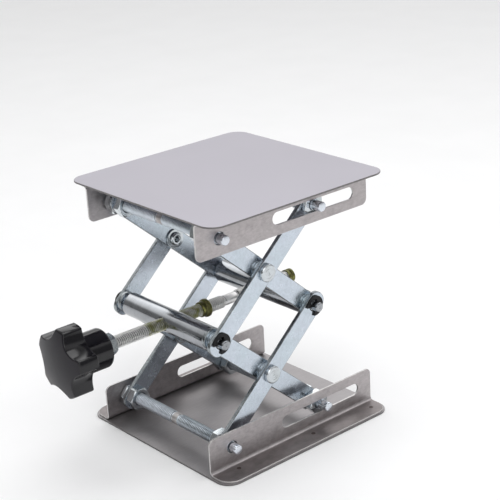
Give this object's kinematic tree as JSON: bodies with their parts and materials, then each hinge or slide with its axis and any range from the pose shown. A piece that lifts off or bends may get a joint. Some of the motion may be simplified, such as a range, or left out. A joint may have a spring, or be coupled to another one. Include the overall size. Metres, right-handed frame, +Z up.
{
  "type": "laboratory scissor jack",
  "caption": "Small laboratory scissor jack: a square steel platform raised and lowered over a base plate by crossed arms and a hand screw.",
  "frame": {"origin": "middle of the base plate's underside, which stands on the table", "axes": "+Z up towards the load face; -Y towards the knob, along the lift screw; +X to the right as seen from the knob"},
  "size_m": [0.102, 0.1501, 0.1193],
  "materials": {
    "platform_top": "satin",
    "base_steel": "satin",
    "bracket_steel": "mottled brushed",
    "zinc_arm": "blue-white zinc plate",
    "bright_shaft": "bright zinc",
    "rod_zinc": "bright zinc thread",
    "screw_zinc": "zinc thread",
    "yellow_zinc": "yellow chromate",
    "clip_black": "black oxide",
    "knob_plastic": "satin moulded"
  },
  "bodies": {
    "base": {"base_plate": "base_steel", "base_bracket_left": "bracket_steel", "base_bracket_right": "bracket_steel", "base_front_rod": "rod_zinc", "base_front_inner_nut_left": "rod_zinc", "base_front_inner_nut_right": "rod_zinc", "base_front_outer_nut_left": "rod_zinc", "base_front_outer_nut_right": "rod_zinc"},
    "lower_outer_arms": {"lower_outer_arm_left": "zinc_arm", "lower_outer_arm_right": "zinc_arm", "lower_rivet_left": "zinc_arm", "lower_rivet_right": "zinc_arm", "lower_rivet_spacer_left": "zinc_arm", "lower_rivet_spacer_right": "zinc_arm", "lower_rivet_washer_left": "zinc_arm", "lower_rivet_washer_right": "zinc_arm"},
    "lower_inner_arms": {"lower_inner_arm_left": "zinc_arm", "lower_inner_arm_right": "zinc_arm", "base_rear_rod": "rod_zinc", "base_rear_inner_nut_left": "rod_zinc", "base_rear_inner_nut_right": "rod_zinc", "base_rear_outer_nut_left": "rod_zinc", "base_rear_outer_nut_right": "rod_zinc"},
    "front_shaft": {"front_cross_shaft": "bright_shaft", "front_shaft_spacer_left": "zinc_arm", "front_shaft_spacer_right": "zinc_arm", "front_shaft_clip_left": "clip_black", "front_shaft_clip_right": "clip_black"},
    "rear_shaft": {"rear_cross_shaft": "bright_shaft", "rear_shaft_spacer_left": "zinc_arm", "rear_shaft_spacer_right": "zinc_arm", "rear_shaft_clip_left": "clip_black", "rear_shaft_clip_right": "clip_black"},
    "upper_inner_arms": {"upper_inner_arm_left": "zinc_arm", "upper_inner_arm_right": "zinc_arm", "upper_rivet_left": "zinc_arm", "upper_rivet_right": "zinc_arm", "upper_rivet_spacer_left": "zinc_arm", "upper_rivet_spacer_right": "zinc_arm", "upper_rivet_washer_left": "zinc_arm", "upper_rivet_washer_right": "zinc_arm"},
    "upper_outer_arms": {"upper_outer_arm_left": "zinc_arm", "upper_outer_arm_right": "zinc_arm", "top_rear_rod": "rod_zinc", "top_rear_inner_nut_left": "rod_zinc", "top_rear_inner_nut_right": "rod_zinc", "top_rear_outer_nut_left": "rod_zinc", "top_rear_outer_nut_right": "rod_zinc"},
    "platform": {"top_plate": "platform_top", "top_bracket_left": "bracket_steel", "top_bracket_right": "bracket_steel", "top_front_rod": "rod_zinc", "top_front_inner_nut_left": "rod_zinc", "top_front_inner_nut_right": "rod_zinc", "top_front_outer_nut_left": "rod_zinc", "top_front_outer_nut_right": "rod_zinc"},
    "screw_carriage": {"stop_collar": "yellow_zinc"},
    "screw_and_knob": {"lift_screw": "screw_zinc", "screw_end_stop": "yellow_zinc", "knob": "knob_plastic"}
  },
  "joints": [
    {"name": "lift", "type": "hinge", "parent": "base", "child": "lower_outer_arms", "pos_m": [0, -0.037, 0.0106], "axis": [1, 0, 0], "range_deg": [-32.64, 22.31]},
    {"name": "lower_scissor", "type": "hinge", "parent": "lower_outer_arms", "child": "lower_inner_arms", "pos_m": [0, -0.00929, 0.03512], "axis": [1, 0, 0], "range_deg": [-44.67, 65.33]},
    {"name": "front_shaft_pivot", "type": "hinge", "parent": "lower_inner_arms", "child": "front_shaft", "pos_m": [0, -0.037, 0.05963], "axis": [1, 0, 0], "range_deg": [-32.69, 22.36]},
    {"name": "rear_shaft_pivot", "type": "hinge", "parent": "lower_outer_arms", "child": "rear_shaft", "pos_m": [0, 0.01842, 0.05963], "axis": [1, 0, 0], "range_deg": [-22.36, 32.69]},
    {"name": "upper_inner_pivot", "type": "hinge", "parent": "lower_outer_arms", "child": "upper_inner_arms", "pos_m": [0, 0.01842, 0.05963], "axis": [1, 0, 0], "range_deg": [-44.67, 65.33]},
    {"name": "upper_scissor", "type": "hinge", "parent": "upper_inner_arms", "child": "upper_outer_arms", "pos_m": [0, -0.00929, 0.08415], "axis": [1, 0, 0], "range_deg": [-65.33, 44.67]},
    {"name": "platform_pivot", "type": "hinge", "parent": "upper_inner_arms", "child": "platform", "pos_m": [0, -0.037, 0.10867], "axis": [1, 0, 0], "range_deg": [-32.69, 22.36]},
    {"name": "screw_travel", "type": "slide", "parent": "front_shaft", "child": "screw_carriage", "axis": [0, 1, 0], "range_m": [-0.00822, 0.01202]},
    {"name": "knob_turn", "type": "hinge", "parent": "screw_carriage", "child": "screw_and_knob", "pos_m": [0, 0, 0.05963], "axis": [0, 1, 0], "continuous": true}
  ],
  "couplings": [
    {"joint": "lower_scissor", "follows": "lift", "ratio": -2},
    {"joint": "front_shaft_pivot", "follows": "lift", "ratio": 1},
    {"joint": "rear_shaft_pivot", "follows": "lift", "ratio": -1},
    {"joint": "upper_inner_pivot", "follows": "lift", "ratio": -2},
    {"joint": "upper_scissor", "follows": "lift", "ratio": 2},
    {"joint": "platform_pivot", "follows": "lift", "ratio": 1},
    {"joint": "screw_travel", "follows": "lift", "m_per_rad": -0.02109},
    {"joint": "knob_turn", "follows": "lift", "ratio": 132.51}
  ]
}
